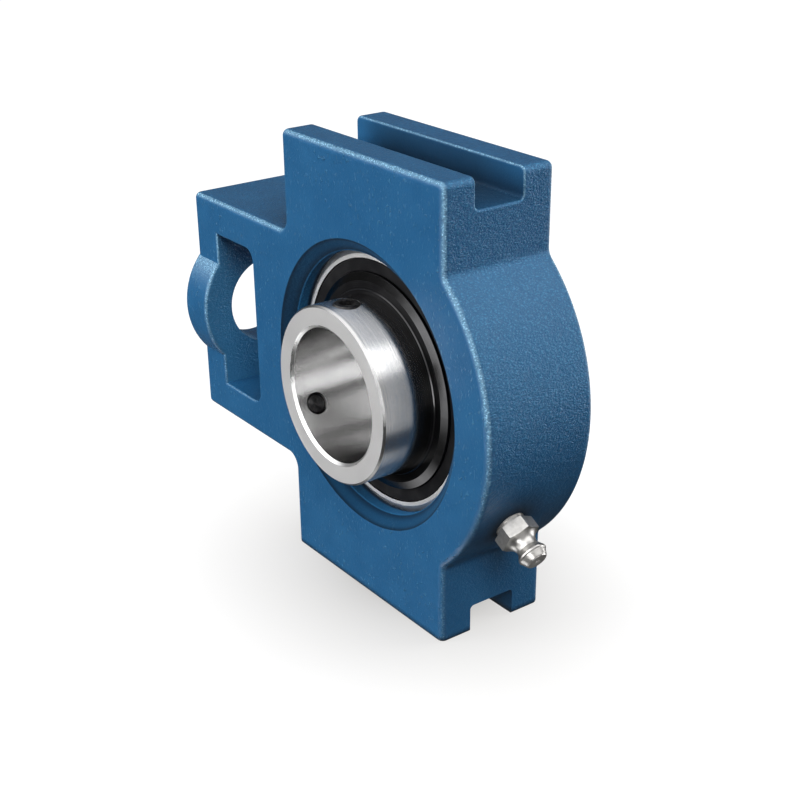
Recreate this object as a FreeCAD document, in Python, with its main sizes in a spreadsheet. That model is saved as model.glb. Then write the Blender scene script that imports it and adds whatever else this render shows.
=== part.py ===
import FreeCAD, Part
import math
import os
import re
import Sketcher

# Take-up bearing unit for a 30 mm shaft, in millimetres.
# X is the take-up direction: the tail points to -X. Y is the shaft's axis, with the set screws on the
# -Y side. Z is up. The origin is the centre of the bearing.

sizes = {
    # Housing, seen from the front
    "tail_reach": 70,
    "tail_half": 28,
    "width_half": 14,
    "pad_half": 28.5,
    "height_half": 51,
    "ring_radius": 43,
    "slot_width": 12,
    "slot_depth": 6.5,
    # Tail: end wall, boss, adjusting-screw hole and the window for its nut
    "end_wall": 10,
    "boss_radius": 18.5,
    "adjuster_radius": 11,
    "window_width": 16.3,
    "window_half": 19.5,
    # Seat for the bearing
    "seat_radius": 31.03,
    "lip_radius": 29.5,
    "lip_depth": 2.5,
    "mouth_radius": 32.5,
    "grease_near": 2,
    "grease_far": 6,
    "grease_radius": 31.7,
    # Casting radii
    "edge_round": 1.5,
    "foot_round": 0.6,
    "tail_fillet": 3,
    "ring_fillet": 2.5,
    "slot_fillet": 1,
    "slot_round": 0.7,
    "window_corner": 3,
    "window_round": 0.7,
    "boss_round": 1,
    "mouth_round": 0.4,
    "loading_gap": 0.15,
    # Insert bearing
    "bore_radius": 15,
    "long_side": 22.2,
    "short_side": 15.9,
    "shoulder_radius": 19.85,
    "bore_chamfer": 0.6,
    "ring_chamfer": 0.45,
    "sphere_radius": 31,
    "outer_half": 9,
    "outer_shoulder": 26.3,
    "recess_radius": 27.45,
    "recess_floor": 6.2,
    "face_radius": 28.3,
    "sphere_half": 8,
    "ball_count": 9,
    "ball_radius": 4.7625,
    "pitch_radius": 23,
    "race_radius": 4.953,
    "race_gap": 0.02,
    "lube_inset": 4.6,
    "lube_radius": 1,
    # Ribbon cage
    "cage_gap": 0.15,
    "cage_sheet": 0.8,
    "cage_inner": 21.4,
    "cage_outer": 24.6,
    "rivet_radius": 0.6,
    "rivet_head": 1.1,
    "rivet_height": 0.5,
    # Seal and flinger, as distances out from the bearing's middle
    "seal_back": 6.9,
    "seal_face": 8.75,
    "seal_step": 8.1,
    "seal_step_radius": 24.65,
    "seal_lip_radius": 19.9,
    "seal_lip": 0.9,
    "seal_bevel": 0.35,
    "flinger_sheet": 0.6,
    "flinger_collar": 20.7,
    "flinger_rim": 24.4,
    "flinger_top": 22.6,
    "flinger_front": 10.15,
    "flinger_flat": 9.85,
    "flinger_edge": 9.25,
    "flinger_back": 8.4,
    "flinger_bevel": 0.25,
    # Set screws
    "screw_inset": 5,
    "screw_angle": 120,
    "screw_radius": 2.94,
    "tapped_radius": 3,
    "tapped_lip": 0.6,
    "tapped_lip_radius": 2.55,
    "screw_start": 15.35,
    "screw_length": 4.75,
    "screw_cup": 1.9,
    "screw_point": 1.25,
    "screw_bevel": 0.35,
    "socket_flats": 3,
    "socket_depth": 2.3,
    # Grease nipple, measured outwards from the ring's surface
    "nipple_angle": 28.7,
    "nipple_inset": 3.4,
    "nipple_thread": 3.175,
    "nipple_root": 5.5,
    "nipple_well": 6.5,
    "nipple_drill": 1.5,
    "hex_flats": 7.9,
    "hex_start": 1.25,
    "hex_end": 4.1,
    "flare_radius": 4.75,
    "flare_curve": 2.5,
    "neck_radius": 2.45,
    "neck_start": 6.3,
    "neck_end": 6.8,
    "head_radius": 3.25,
    "head_start": 8.15,
    "head_shoulder": 8.5,
    "head_bevel": 0.2,
    "tip_radius": 2.4,
    "tip_end": 10.2,
    "valve_mouth": 0.55,
    "valve_lip": 0.25,
    "valve_chamber": 0.85,
    "valve_floor": 6,
    "valve_bore": 0.5,
    "valve_ball": 0.75,
    "valve_gap": 0.03,
    "spring_radius": 0.55,
    "spring_wire": 0.11,
    "spring_turns": 5,
}

doc = FreeCAD.newDocument("TakeUpUnit")
sheet = doc.addObject("Spreadsheet::Sheet", "sizes")
for row, (alias, number) in enumerate(sizes.items(), start=1):
    sheet.set(f"A{row}", alias)
    sheet.set(f"B{row}", str(number))
    sheet.setAlias(f"B{row}", alias)
doc.recompute()

aliasWord = re.compile(r"\b(" + "|".join(sizes) + r")\b")
parts = {}


def bound(formula):
    """A formula in the sheet's words, written so that any object can use it."""
    return aliasWord.sub(r"sizes.\1", formula)


def value(formula):
    """The number that a formula gives now."""
    return float(sheet.evalExpression(formula))


def newBody(label):
    """An empty sub-part, which is written to a file of its own."""
    body = doc.addObject("PartDesign::Body", label)
    body.Label = label
    parts[label] = body
    return body


def originPart(body, role):
    """One of a body's own origin planes or axes."""
    for feature in body.Origin.OriginFeatures:
        if feature.Role == role:
            return feature
    raise ValueError(role)


def newSketch(body, label, plane, shift=None, turn=None):
    """A sketch on an origin plane, moved along its own axes and turned clockwise in its plane."""
    sketch = body.newObject("Sketcher::SketchObject", label)
    sketch.AttachmentSupport = [(originPart(body, plane), "")]
    sketch.MapMode = "FlatFace"
    if turn:
        clockwise = FreeCAD.Rotation(FreeCAD.Vector(0, 0, -1), value(turn))
        sketch.AttachmentOffset = FreeCAD.Placement(FreeCAD.Vector(), clockwise)
        sketch.setExpression("AttachmentOffset.Rotation.Angle", bound(turn))
    if shift:
        for axis, formula in zip("xyz", shift):
            sketch.setExpression("AttachmentOffset.Base." + axis, bound(formula))
    return sketch


def bind(sketch, constraint, formula):
    """Adds a dimension to a sketch and drives it from the sheet."""
    index = sketch.addConstraint(constraint)
    name = f"size{index}"
    sketch.renameConstraint(index, name)
    sketch.setExpression("Constraints." + name, bound(formula))


def pin(sketch, curve, end, corner):
    """Fixes one end of a curve at a corner given as two formulas."""
    for direction, formula in zip(("DistanceX", "DistanceY"), corner):
        bind(sketch, Sketcher.Constraint(direction, -1, 1, curve, end, value(formula)), formula)


def arcBetween(start, end, radius, side):
    """The short arc between two points that bulges to the left (side 1) or right (side -1) of the way."""
    chord = end - start
    middle = (start + end) * 0.5
    left = FreeCAD.Vector(-chord.y, chord.x, 0).normalize()
    sagitta = radius - math.sqrt(radius**2 - (chord.Length / 2) ** 2)
    return Part.Arc(start, middle + left * sagitta * side, end)


def drawOutline(sketch, corners, arcs=None):
    """A closed outline. arcs maps a corner's number to (radius, side) of the arc that leaves it."""
    arcs = arcs or {}
    base = sketch.GeometryCount
    points = [FreeCAD.Vector(value(x), value(y), 0) for x, y in corners]
    ends = points[1:] + points[:1]
    turned = []
    for number, (start, end) in enumerate(zip(points, ends)):
        if number in arcs:
            radius, side = arcs[number]
            index = sketch.addGeometry(arcBetween(start, end, value(radius), side), False)
            # An arc always runs anticlockwise, so its first end may be the outline's second
            first = sketch.getPoint(index, 1)
            turned.append(first.distanceToPoint(start) > first.distanceToPoint(end))
        else:
            sketch.addGeometry(Part.LineSegment(start, end), False)
            turned.append(False)
    for number, corner in enumerate(corners):
        after = (number + 1) % len(corners)
        enter = 2 if turned[number] else 1
        leave = 1 if turned[number] else 2
        enterAfter = 2 if turned[after] else 1
        joint = Sketcher.Constraint("Coincident", base + number, leave, base + after, enterAfter)
        sketch.addConstraint(joint)
        pin(sketch, base + number, enter, corner)
    for number, (radius, side) in arcs.items():
        bind(sketch, Sketcher.Constraint("Radius", base + number, value(radius)), radius)


def drawCircle(sketch, centre, radius):
    """A circle of a given radius about a given centre."""
    middle = FreeCAD.Vector(value(centre[0]), value(centre[1]), 0)
    index = sketch.addGeometry(Part.Circle(middle, FreeCAD.Vector(0, 0, 1), value(radius)), False)
    pin(sketch, index, 3, centre)
    bind(sketch, Sketcher.Constraint("Radius", index, value(radius)), radius)


def drawHexagon(sketch, flats):
    """A hexagon about the sketch's origin with corners on its X axis, given across flats."""
    corners = []
    for step in range(6):
        corners.append((f"{flats} / sqrt(3) * cos({60 * step})", f"{flats} / sqrt(3) * sin({60 * step})"))
    drawOutline(sketch, corners)


def extrude(body, kind, label, sketch, length, reverse=False, bothWays=False):
    """A Pad or a Pocket of a sketch."""
    feature = body.newObject("PartDesign::" + kind, label)
    feature.Profile = sketch
    feature.Type = "Length"
    feature.Reversed = reverse
    if bothWays:
        feature.SideType = "Symmetric"
    feature.setExpression("Length", bound(length))
    body.Tip = feature
    doc.recompute()
    return feature


def turnProfile(body, kind, label, sketch, axis="V_Axis"):
    """A Revolution or a Groove of a sketch about one of its own axes."""
    feature = body.newObject("PartDesign::" + kind, label)
    feature.Profile = sketch
    feature.ReferenceAxis = (sketch, [axis])
    feature.Angle = 360
    body.Tip = feature
    doc.recompute()
    return feature


def repeat(body, label, originals, count, angle, reverse=False):
    """Copies of features round the shaft's axis."""
    pattern = body.newObject("PartDesign::PolarPattern", label)
    pattern.Originals = originals
    pattern.Axis = (originPart(body, "Y_Axis"), [""])
    pattern.Reversed = reverse
    pattern.setExpression("Angle", bound(angle))
    pattern.setExpression("Occurrences", bound(count))
    body.Tip = pattern
    doc.recompute()
    return pattern


def roundEdges(body, label, radius, wanted):
    """Rounds every edge of the body so far that wanted() picks by its bounding box."""
    base = body.Tip
    names = []
    for number, edge in enumerate(base.Shape.Edges, start=1):
        if wanted(edge):
            names.append(f"Edge{number}")
    feature = body.newObject("PartDesign::Fillet", label)
    feature.Base = (base, names)
    feature.setExpression("Radius", bound(radius))
    body.Tip = feature
    doc.recompute()
    return feature


def near(a, b, tolerance=0.01):
    return abs(a - b) < tolerance


def liesOn(edge, **planes):
    """Does the whole edge lie on the given X, Y or Z planes? Each plane may have several places."""
    box = edge.BoundBox
    spans = {"x": (box.XMin, box.XMax), "y": (box.YMin, box.YMax), "z": (box.ZMin, box.ZMax)}
    for axis, places in planes.items():
        low, high = spans[axis]
        if not any(near(low, place) and near(high, place) for place in places):
            return False
    return True


def alongY(edge):
    """Is the edge straight and parallel to the shaft?"""
    box = edge.BoundBox
    return near(box.XLength, 0) and near(box.ZLength, 0) and box.YLength > 1


def makeHousing():
    """The iron casting: guide pads and tail in one plate, the ring, the boss, and what is cut from them."""
    body = newBody("housing")
    plate = newSketch(body, "plate_outline", "XZ_Plane")
    drawOutline(plate, [
        ("-tail_reach", "-tail_half"), ("-pad_half", "-tail_half"), ("-pad_half", "-height_half"),
        ("pad_half", "-height_half"), ("pad_half", "height_half"), ("-pad_half", "height_half"),
        ("-pad_half", "tail_half"), ("-tail_reach", "tail_half"),
    ])
    extrude(body, "Pad", "plate", plate, "2 * width_half", bothWays=True)
    ring = newSketch(body, "ring_outline", "XZ_Plane")
    drawOutline(ring, [("0", "-ring_radius"), ("ring_radius", "0"), ("0", "ring_radius")],
                {0: ("ring_radius", -1), 1: ("ring_radius", -1)})
    extrude(body, "Pad", "ring", ring, "2 * width_half", bothWays=True)
    roundCasting(body)
    cutGuideSlots(body)
    cutWindow(body)
    addBoss(body)
    cutSeat(body)
    cutGreaseHole(body)


def roundCasting(body):
    """The moulder's radii, on the outline before anything is cut from it."""
    pad = value("pad_half")
    tail = value("tail_half")
    top = value("height_half")
    reach = value("tail_reach")
    side = value("width_half")
    join = value("sqrt(ring_radius^2 - pad_half^2)")
    roundEdges(body, "tail_fillets", "tail_fillet",
               lambda edge: alongY(edge) and liesOn(edge, x=[-pad], z=[tail, -tail]))
    roundEdges(body, "ring_fillets", "ring_fillet",
               lambda edge: alongY(edge) and liesOn(edge, x=[pad], z=[join, -join]))
    roundEdges(body, "cast_rounds", "edge_round",
               lambda edge: (liesOn(edge, y=[side, -side]) and not liesOn(edge, z=[-top]))
               or (alongY(edge) and liesOn(edge, x=[-reach, -pad, pad], z=[tail, -tail, top])))
    roundEdges(body, "foot_rounds", "foot_round", lambda edge: liesOn(edge, z=[-top]))


def cutGuideSlots(body):
    """The slots that slide on the frame's rails, in the top and bottom pads."""
    half = value("slot_width / 2")
    top = value("height_half")
    floor = value("height_half - slot_depth")
    for name, sign in (("top", ""), ("bottom", "-")):
        sketch = newSketch(body, name + "_slot_outline", "YZ_Plane")
        drawOutline(sketch, [
            ("-slot_width / 2", sign + "(height_half - slot_depth)"),
            ("slot_width / 2", sign + "(height_half - slot_depth)"),
            ("slot_width / 2", sign + "(height_half + slot_depth)"),
            ("-slot_width / 2", sign + "(height_half + slot_depth)"),
        ])
        extrude(body, "Pocket", name + "_slot", sketch, "3 * pad_half", bothWays=True)
    roundEdges(body, "slot_fillets", "slot_fillet",
               lambda edge: edge.BoundBox.XLength > 1 and liesOn(edge, y=[half, -half], z=[floor, -floor]))
    roundEdges(body, "slot_rounds", "slot_round",
               lambda edge: edge.BoundBox.XLength > 1 and liesOn(edge, y=[half, -half], z=[top]))


def cutWindow(body):
    """The window in the tail for the adjusting screw's nut."""
    left = "-tail_reach + end_wall"
    right = left + " + window_width"
    window = newSketch(body, "window_outline", "XZ_Plane")
    drawOutline(window, [
        (left, "-window_half"), (right + " - window_corner", "-window_half"),
        (right, "-window_half + window_corner"), (right, "window_half - window_corner"),
        (right + " - window_corner", "window_half"), (left, "window_half"),
    ], {1: ("window_corner", -1), 3: ("window_corner", -1)})
    extrude(body, "Pocket", "window", window, "3 * width_half", bothWays=True)
    side = value("width_half")
    low = value(left) - 0.1
    high = value(right) + 0.1
    tall = value("window_half") + 0.1
    roundEdges(body, "window_rounds", "window_round",
               lambda edge: liesOn(edge, y=[side, -side]) and edge.BoundBox.XMin > low
               and edge.BoundBox.XMax < high and edge.BoundBox.ZMin > -tall and edge.BoundBox.ZMax < tall)


def addBoss(body):
    """The round boss of the end wall, which stands out of the tail's faces, with the screw's hole."""
    sketch = newSketch(body, "boss_profile", "XY_Plane")
    inner = "-tail_reach + end_wall"
    drawOutline(sketch, [
        ("-tail_reach", "0"), (inner, "0"), (inner, "boss_radius - boss_round"),
        (inner + " - boss_round", "boss_radius"), ("-tail_reach + boss_round", "boss_radius"),
        ("-tail_reach", "boss_radius - boss_round"),
    ], {2: ("boss_round", -1), 4: ("boss_round", -1)})
    turnProfile(body, "Revolution", "boss", sketch, "H_Axis")
    hole = newSketch(body, "adjuster_outline", "YZ_Plane", shift=("0", "0", "-tail_reach"))
    drawCircle(hole, ("0", "0"), "adjuster_radius")
    extrude(body, "Pocket", "adjuster_hole", hole, "end_wall", reverse=True)


def cutSeat(body):
    """The spherical seat, its grease groove, and the two slots that let the bearing in from the rear."""
    ball = "sqrt(seat_radius^2 - lip_radius^2)"
    sketch = newSketch(body, "seat_profile", "XY_Plane")
    drawOutline(sketch, [
        ("0", "-width_half - lip_depth"), ("mouth_radius", "-width_half - lip_depth"),
        ("mouth_radius", "-width_half"), ("lip_radius", "-width_half + lip_depth"),
        ("lip_radius", "-" + ball),
        ("sqrt(seat_radius^2 - grease_far^2)", "-grease_far"), ("grease_radius", "-grease_far"),
        ("grease_radius", "-grease_near"), ("sqrt(seat_radius^2 - grease_near^2)", "-grease_near"),
        ("lip_radius", ball), ("lip_radius", "width_half - lip_depth"), ("mouth_radius", "width_half"),
        ("mouth_radius", "width_half + lip_depth"), ("0", "width_half + lip_depth"),
    ], {4: ("seat_radius", -1), 8: ("seat_radius", -1)})
    turnProfile(body, "Groove", "seat", sketch)
    side = value("width_half")
    mouth = value("mouth_radius")
    roundEdges(body, "mouth_rounds", "mouth_round",
               lambda edge: liesOn(edge, y=[side, -side]) and near(edge.BoundBox.XMax, mouth))
    slots = newSketch(body, "loading_outline", "XZ_Plane")
    half = "(outer_half + loading_gap)"
    tall = f"sqrt(seat_radius^2 - {half}^2)"
    drawOutline(slots, [("-" + half, "-" + tall), (half, "-" + tall), (half, tall), ("-" + half, tall)],
                {0: ("seat_radius", -1), 2: ("seat_radius", -1)})
    extrude(body, "Pocket", "loading_slots", slots, "width_half + lip_depth")


def cutGreaseHole(body):
    """The nipple's tapped well in the ring, and the drilling from it to the seat's grease groove."""
    inset = ("0", "0", "nipple_inset")
    sketch = newSketch(body, "grease_profile", "XZ_Plane", shift=inset, turn="nipple_angle")
    floor = "ring_radius - nipple_well"
    drawOutline(sketch, [
        ("lip_radius", "0"), ("ring_radius + hex_end", "0"), ("ring_radius + hex_end", "nipple_thread"),
        (floor, "nipple_thread"), (floor + " - nipple_drill", "nipple_drill"), ("lip_radius", "nipple_drill"),
    ])
    turnProfile(body, "Groove", "grease_hole", sketch, "H_Axis")


def makeOuterRing():
    """Spherical outside, ball groove, two seal recesses and two lubrication holes."""
    body = newBody("outer_ring")
    sketch = newSketch(body, "outer_profile", "XY_Plane")
    corner = "sqrt(sphere_radius^2 - sphere_half^2)"
    centre = "(pitch_radius + ball_radius + race_gap - race_radius)"
    race = f"sqrt(race_radius^2 - (outer_shoulder - {centre})^2)"
    drawOutline(sketch, [
        ("recess_radius", "-outer_half"), ("face_radius", "-outer_half"), (corner, "-sphere_half"),
        (corner, "sphere_half"), ("face_radius", "outer_half"), ("recess_radius", "outer_half"),
        ("recess_radius", "recess_floor"), ("outer_shoulder", "recess_floor"), ("outer_shoulder", race),
        ("outer_shoulder", "-" + race), ("outer_shoulder", "-recess_floor"),
        ("recess_radius", "-recess_floor"),
    ], {2: ("sphere_radius", -1), 8: ("race_radius", 1)})
    turnProfile(body, "Revolution", "outer_turned", sketch)
    drill = newSketch(body, "lube_profile", "YZ_Plane", shift=("-lube_inset", "0", "0"))
    drawOutline(drill, [
        ("0", "pitch_radius"), ("lube_radius", "pitch_radius"),
        ("lube_radius", "mouth_radius"), ("0", "mouth_radius"),
    ])
    hole = turnProfile(body, "Groove", "lube_hole", drill)
    repeat(body, "lube_holes", [hole], "2", "360")


def makeInnerRing():
    """Long inner ring with the shaft's bore, the ball groove and the two tapped holes."""
    body = newBody("inner_ring")
    sketch = newSketch(body, "inner_profile", "XY_Plane")
    centre = "(pitch_radius - ball_radius - race_gap + race_radius)"
    race = f"sqrt(race_radius^2 - ({centre} - shoulder_radius)^2)"
    drawOutline(sketch, [
        ("bore_radius + bore_chamfer", "-long_side"), ("shoulder_radius - ring_chamfer", "-long_side"),
        ("shoulder_radius", "-long_side + ring_chamfer"), ("shoulder_radius", "-" + race),
        ("shoulder_radius", race), ("shoulder_radius", "short_side - ring_chamfer"),
        ("shoulder_radius - ring_chamfer", "short_side"), ("bore_radius + bore_chamfer", "short_side"),
        ("bore_radius", "short_side - bore_chamfer"), ("bore_radius", "-long_side + bore_chamfer"),
    ], {3: ("race_radius", 1)})
    turnProfile(body, "Revolution", "inner_turned", sketch)
    tapped = newSketch(body, "tapped_profile", "YZ_Plane", shift=("-long_side + screw_inset", "0", "0"))
    drawOutline(tapped, [
        ("0", "bore_radius - tapped_lip"), ("tapped_lip_radius", "bore_radius - tapped_lip"),
        ("tapped_lip_radius", "bore_radius + tapped_lip"), ("tapped_radius", "bore_radius + tapped_lip"),
        ("tapped_radius", "shoulder_radius + tapped_lip"), ("0", "shoulder_radius + tapped_lip"),
    ])
    hole = turnProfile(body, "Groove", "tapped_hole", tapped)
    repeat(body, "tapped_holes", [hole], "2", "screw_angle", reverse=True)


def makeBalls():
    """The balls, on the pitch circle from the top round."""
    for number in range(sizes["ball_count"]):
        label = f"ball_{number + 1}"
        ball = doc.addObject("Part::Sphere", label)
        ball.Label = label
        angle = f"360 / ball_count * {number}"
        ball.setExpression("Radius", bound("ball_radius"))
        ball.setExpression("Placement.Base.x", bound(f"pitch_radius * sin({angle})"))
        ball.setExpression("Placement.Base.z", bound(f"pitch_radius * cos({angle})"))
        parts[label] = ball


def ballQuarter(body, label, radius, side):
    """A quarter disc which turns into the half of a ball that lies on one side of the middle plane."""
    sketch = newSketch(body, label, "YZ_Plane", shift=("0", "pitch_radius", "0"))
    tip = radius if side > 0 else f"-({radius})"
    drawOutline(sketch, [("0", "0"), (tip, "0"), ("0", radius)], {1: (radius, -side)})
    return sketch


def makeCageHalf(label, side):
    """One half of the ribbon cage: flat webs with rivet holes, and a pressed cup over each ball."""
    body = newBody(label)
    web = newSketch(body, label + "_web_outline", "XZ_Plane")
    drawCircle(web, ("0", "0"), "cage_outer + cage_sheet")
    drawCircle(web, ("0", "0"), "cage_inner - cage_sheet")
    extrude(body, "Pad", label + "_web", web, "cage_sheet", reverse=side > 0)
    cupSketch = ballQuarter(body, label + "_cup_profile", "ball_radius + cage_gap + cage_sheet", side)
    cup = turnProfile(body, "Revolution", label + "_cup", cupSketch, "H_Axis")
    repeat(body, label + "_cups", [cup], "ball_count", "360")
    trim = newSketch(body, label + "_trim_outline", "XZ_Plane")
    for radius in ("cage_outer + 2 * ball_radius", "cage_outer", "cage_inner"):
        drawCircle(trim, ("0", "0"), radius)
    extrude(body, "Pocket", label + "_trim", trim, "4 * ball_radius", bothWays=True)
    pocketSketch = ballQuarter(body, label + "_pocket_profile", "ball_radius + cage_gap", side)
    pocket = turnProfile(body, "Groove", label + "_pocket", pocketSketch, "H_Axis")
    repeat(body, label + "_pockets", [pocket], "ball_count", "360")
    hole = newSketch(body, label + "_rivet_outline", "XZ_Plane")
    between = "(180 / ball_count)"
    drawCircle(hole, (f"pitch_radius * sin{between}", f"pitch_radius * cos{between}"), "rivet_radius")
    drilled = extrude(body, "Pocket", label + "_rivet_hole", hole, "4 * cage_sheet", bothWays=True)
    repeat(body, label + "_rivet_holes", [drilled], "ball_count", "360")


def makeRivets():
    """The rivets that hold the cage's halves together, halfway between the balls."""
    body = newBody("cage_rivets")
    body.AllowCompound = True
    sketch = newSketch(body, "rivet_profile", "YZ_Plane", shift=("0", "pitch_radius", "0"))
    end = "(cage_sheet + rivet_height)"
    drawOutline(sketch, [
        ("-" + end, "0"), (end, "0"), (end, "rivet_radius"), ("cage_sheet", "rivet_head"),
        ("cage_sheet", "rivet_radius"), ("-cage_sheet", "rivet_radius"), ("-cage_sheet", "rivet_head"),
        ("-" + end, "rivet_radius"),
    ])
    rivet = turnProfile(body, "Revolution", "rivet", sketch, "H_Axis")
    repeat(body, "rivets", [rivet], "ball_count", "360")
    body.Placement = FreeCAD.Placement(FreeCAD.Vector(), FreeCAD.Rotation(FreeCAD.Vector(0, 1, 0), 1))
    body.setExpression("Placement.Rotation.Angle", bound("180 / ball_count"))


def makeTurnedRing(label, side, profile):
    """A ring turned about the shaft from (radius, distance out) pairs, on one side of the bearing."""
    body = newBody(label)
    sketch = newSketch(body, label + "_profile", "XY_Plane")
    sign = "" if side > 0 else "-"
    drawOutline(sketch, [(radius, f"{sign}({out})") for radius, out in profile])
    turnProfile(body, "Revolution", label + "_turned", sketch)


def makeSeals():
    """The rubber seals in the outer ring's recesses, and the sheet flingers on the inner ring before them."""
    seal = [
        ("recess_radius", "recess_floor"), ("recess_radius", "seal_face - seal_bevel"),
        ("recess_radius - seal_bevel", "seal_face"), ("seal_step_radius", "seal_face"),
        ("seal_step_radius", "seal_step"), ("seal_lip_radius + seal_lip", "seal_step"),
        ("seal_lip_radius", "seal_step - seal_bevel"), ("seal_lip_radius", "seal_step - 2 * seal_bevel"),
        ("seal_lip_radius + seal_lip", "seal_back + seal_bevel"),
        ("seal_step_radius", "seal_back + seal_bevel"),
        ("seal_step_radius + seal_bevel", "seal_back"), ("outer_shoulder - seal_bevel", "seal_back"),
        ("outer_shoulder + seal_bevel", "recess_floor"),
    ]
    back = "flinger_flat - flinger_sheet"
    flinger = [
        ("shoulder_radius", "flinger_back"), ("shoulder_radius + flinger_sheet", "flinger_back"),
        ("shoulder_radius + flinger_sheet", back), ("flinger_top", back),
        ("flinger_rim", "flinger_edge - flinger_sheet"), ("flinger_rim", "flinger_edge"),
        ("flinger_top", "flinger_flat"), ("flinger_collar + flinger_bevel", "flinger_flat"),
        ("flinger_collar", "flinger_front"), ("shoulder_radius", "flinger_front"),
    ]
    for name, side in (("front", -1), ("rear", 1)):
        makeTurnedRing(name + "_seal", side, seal)
        makeTurnedRing(name + "_flinger", side, flinger)


def placeOutward(item, angle, reach, along, way=1):
    """Puts a piece made along its own Z axis on a radius of the bearing, turned from the top by an angle."""
    turn = FreeCAD.Rotation(FreeCAD.Vector(0, way, 0), 1)
    item.Placement = FreeCAD.Placement(FreeCAD.Vector(), turn)
    item.setExpression("Placement.Rotation.Angle", bound(angle))
    item.setExpression("Placement.Base.x", bound(f"{way} * ({reach}) * sin({angle})"))
    item.setExpression("Placement.Base.y", bound(along))
    item.setExpression("Placement.Base.z", bound(f"({reach}) * cos({angle})"))


def makeSetScrew(label):
    """A cup-point set screw with a hexagon socket, along its own Z axis from its point up."""
    body = newBody(label)
    sketch = newSketch(body, label + "_profile", "XZ_Plane")
    drawOutline(sketch, [
        ("0", "screw_cup / 3"), ("screw_cup", "0"), ("screw_radius", "screw_point"),
        ("screw_radius", "screw_length - screw_bevel"), ("screw_radius - screw_bevel", "screw_length"),
        ("0", "screw_length"),
    ])
    turnProfile(body, "Revolution", label + "_turned", sketch)
    socket = newSketch(body, label + "_socket_outline", "XY_Plane", shift=("0", "0", "screw_length"))
    drawHexagon(socket, "socket_flats")
    extrude(body, "Pocket", label + "_socket", socket, "socket_depth")
    return body


def makeSetScrews():
    """Both set screws, in the inner ring's tapped holes."""
    along = "-long_side + screw_inset"
    upper = makeSetScrew("set_screw_1")
    upper.setExpression("Placement.Base.y", bound(along))
    upper.setExpression("Placement.Base.z", bound("screw_start"))
    placeOutward(makeSetScrew("set_screw_2"), "screw_angle", "screw_start", along, way=-1)


def makeNipple():
    """The grease nipple, along its own Z axis, with Z = 0 at the ring's surface. Its flange is turned with
    the concave flare to the neck, and the flats are then cut off it."""
    body = newBody("nipple_body")
    turned = newSketch(body, "nipple_profile", "XZ_Plane")
    drawOutline(turned, [
        ("valve_bore", "-nipple_root"), ("nipple_thread", "-nipple_root"), ("nipple_thread", "hex_start"),
        ("flare_radius", "hex_start"), ("flare_radius", "hex_end"), ("neck_radius", "neck_start"),
        ("neck_radius", "neck_end"), ("head_radius", "head_start"), ("head_radius", "head_shoulder"),
        ("head_radius - head_bevel", "head_shoulder + head_bevel"), ("tip_radius", "tip_end - head_bevel"),
        ("tip_radius - head_bevel", "tip_end"), ("valve_mouth", "tip_end"),
        ("valve_mouth", "tip_end - valve_lip"), ("valve_chamber", "tip_end - valve_lip"),
        ("valve_chamber", "valve_floor"), ("valve_bore", "valve_floor"),
    ], {4: ("flare_curve", 1)})
    turnProfile(body, "Revolution", "nipple_turned", turned)
    flats = newSketch(body, "hexagon_outline", "XY_Plane")
    drawHexagon(flats, "hex_flats")
    drawCircle(flats, ("0", "0"), "hex_flats")
    extrude(body, "Pocket", "hexagon", flats, "neck_start", reverse=True)
    placeNipplePart(body, "ring_radius")


def placeNipplePart(item, reach):
    """Puts a piece on the nipple's axis, which slopes down from the ring."""
    placeOutward(item, "90 + nipple_angle", reach, "-nipple_inset")


def makeNippleValve():
    """The check ball behind the nipple's mouth, and the spring that holds it there."""
    ballCentre = "(tip_end - valve_lip - valve_gap - sqrt(valve_ball^2 - valve_mouth^2))"
    ball = doc.addObject("Part::Sphere", "nipple_ball")
    ball.Label = "nipple_ball"
    ball.setExpression("Radius", bound("valve_ball"))
    placeNipplePart(ball, "ring_radius + " + ballCentre)
    parts["nipple_ball"] = ball

    helix = doc.addObject("Part::Helix", "spring_line")
    length = f"({ballCentre} - valve_ball - valve_floor - 2 * spring_wire - valve_gap)"
    helix.setExpression("Radius", bound("spring_radius"))
    helix.setExpression("Height", bound(length))
    helix.setExpression("Pitch", bound(f"{length} / spring_turns"))
    wire = doc.addObject("Part::Circle", "spring_section")
    wire.setExpression("Radius", bound("spring_wire"))
    wire.Placement = FreeCAD.Placement(FreeCAD.Vector(), FreeCAD.Rotation(FreeCAD.Vector(1, 0, 0), 90))
    wire.setExpression("Placement.Base.x", bound("spring_radius"))
    doc.recompute()
    spring = doc.addObject("Part::Sweep", "nipple_spring")
    spring.Label = "nipple_spring"
    spring.Sections = [wire]
    spring.Spine = (helix, [])
    spring.Solid = True
    spring.Frenet = True
    placeNipplePart(spring, "ring_radius + valve_floor + spring_wire + valve_gap / 2")
    parts["nipple_spring"] = spring


def checkAndWrite():
    """Stops on any failed object or shape, then writes each sub-part."""
    doc.recompute()
    for item in doc.Objects:
        if "Invalid" in item.State or "Error" in item.State:
            raise RuntimeError(f"{item.Name} failed: {item.getStatusString()}")
    os.makedirs("parts", exist_ok=True)
    for label, item in parts.items():
        shape = item.Shape
        if shape.isNull() or not shape.isValid():
            raise RuntimeError(f"{label} has no valid shape")
        shape.exportStep(os.path.join("parts", label + ".step"))
        print(label, "solids", len(shape.Solids), "volume", round(shape.Volume, 2))


makeHousing()
makeOuterRing()
makeInnerRing()
makeBalls()
makeCageHalf("cage_front", -1)
makeCageHalf("cage_rear", 1)
makeRivets()
makeSeals()
makeSetScrews()
makeNipple()
makeNippleValve()
checkAndWrite()
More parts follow.
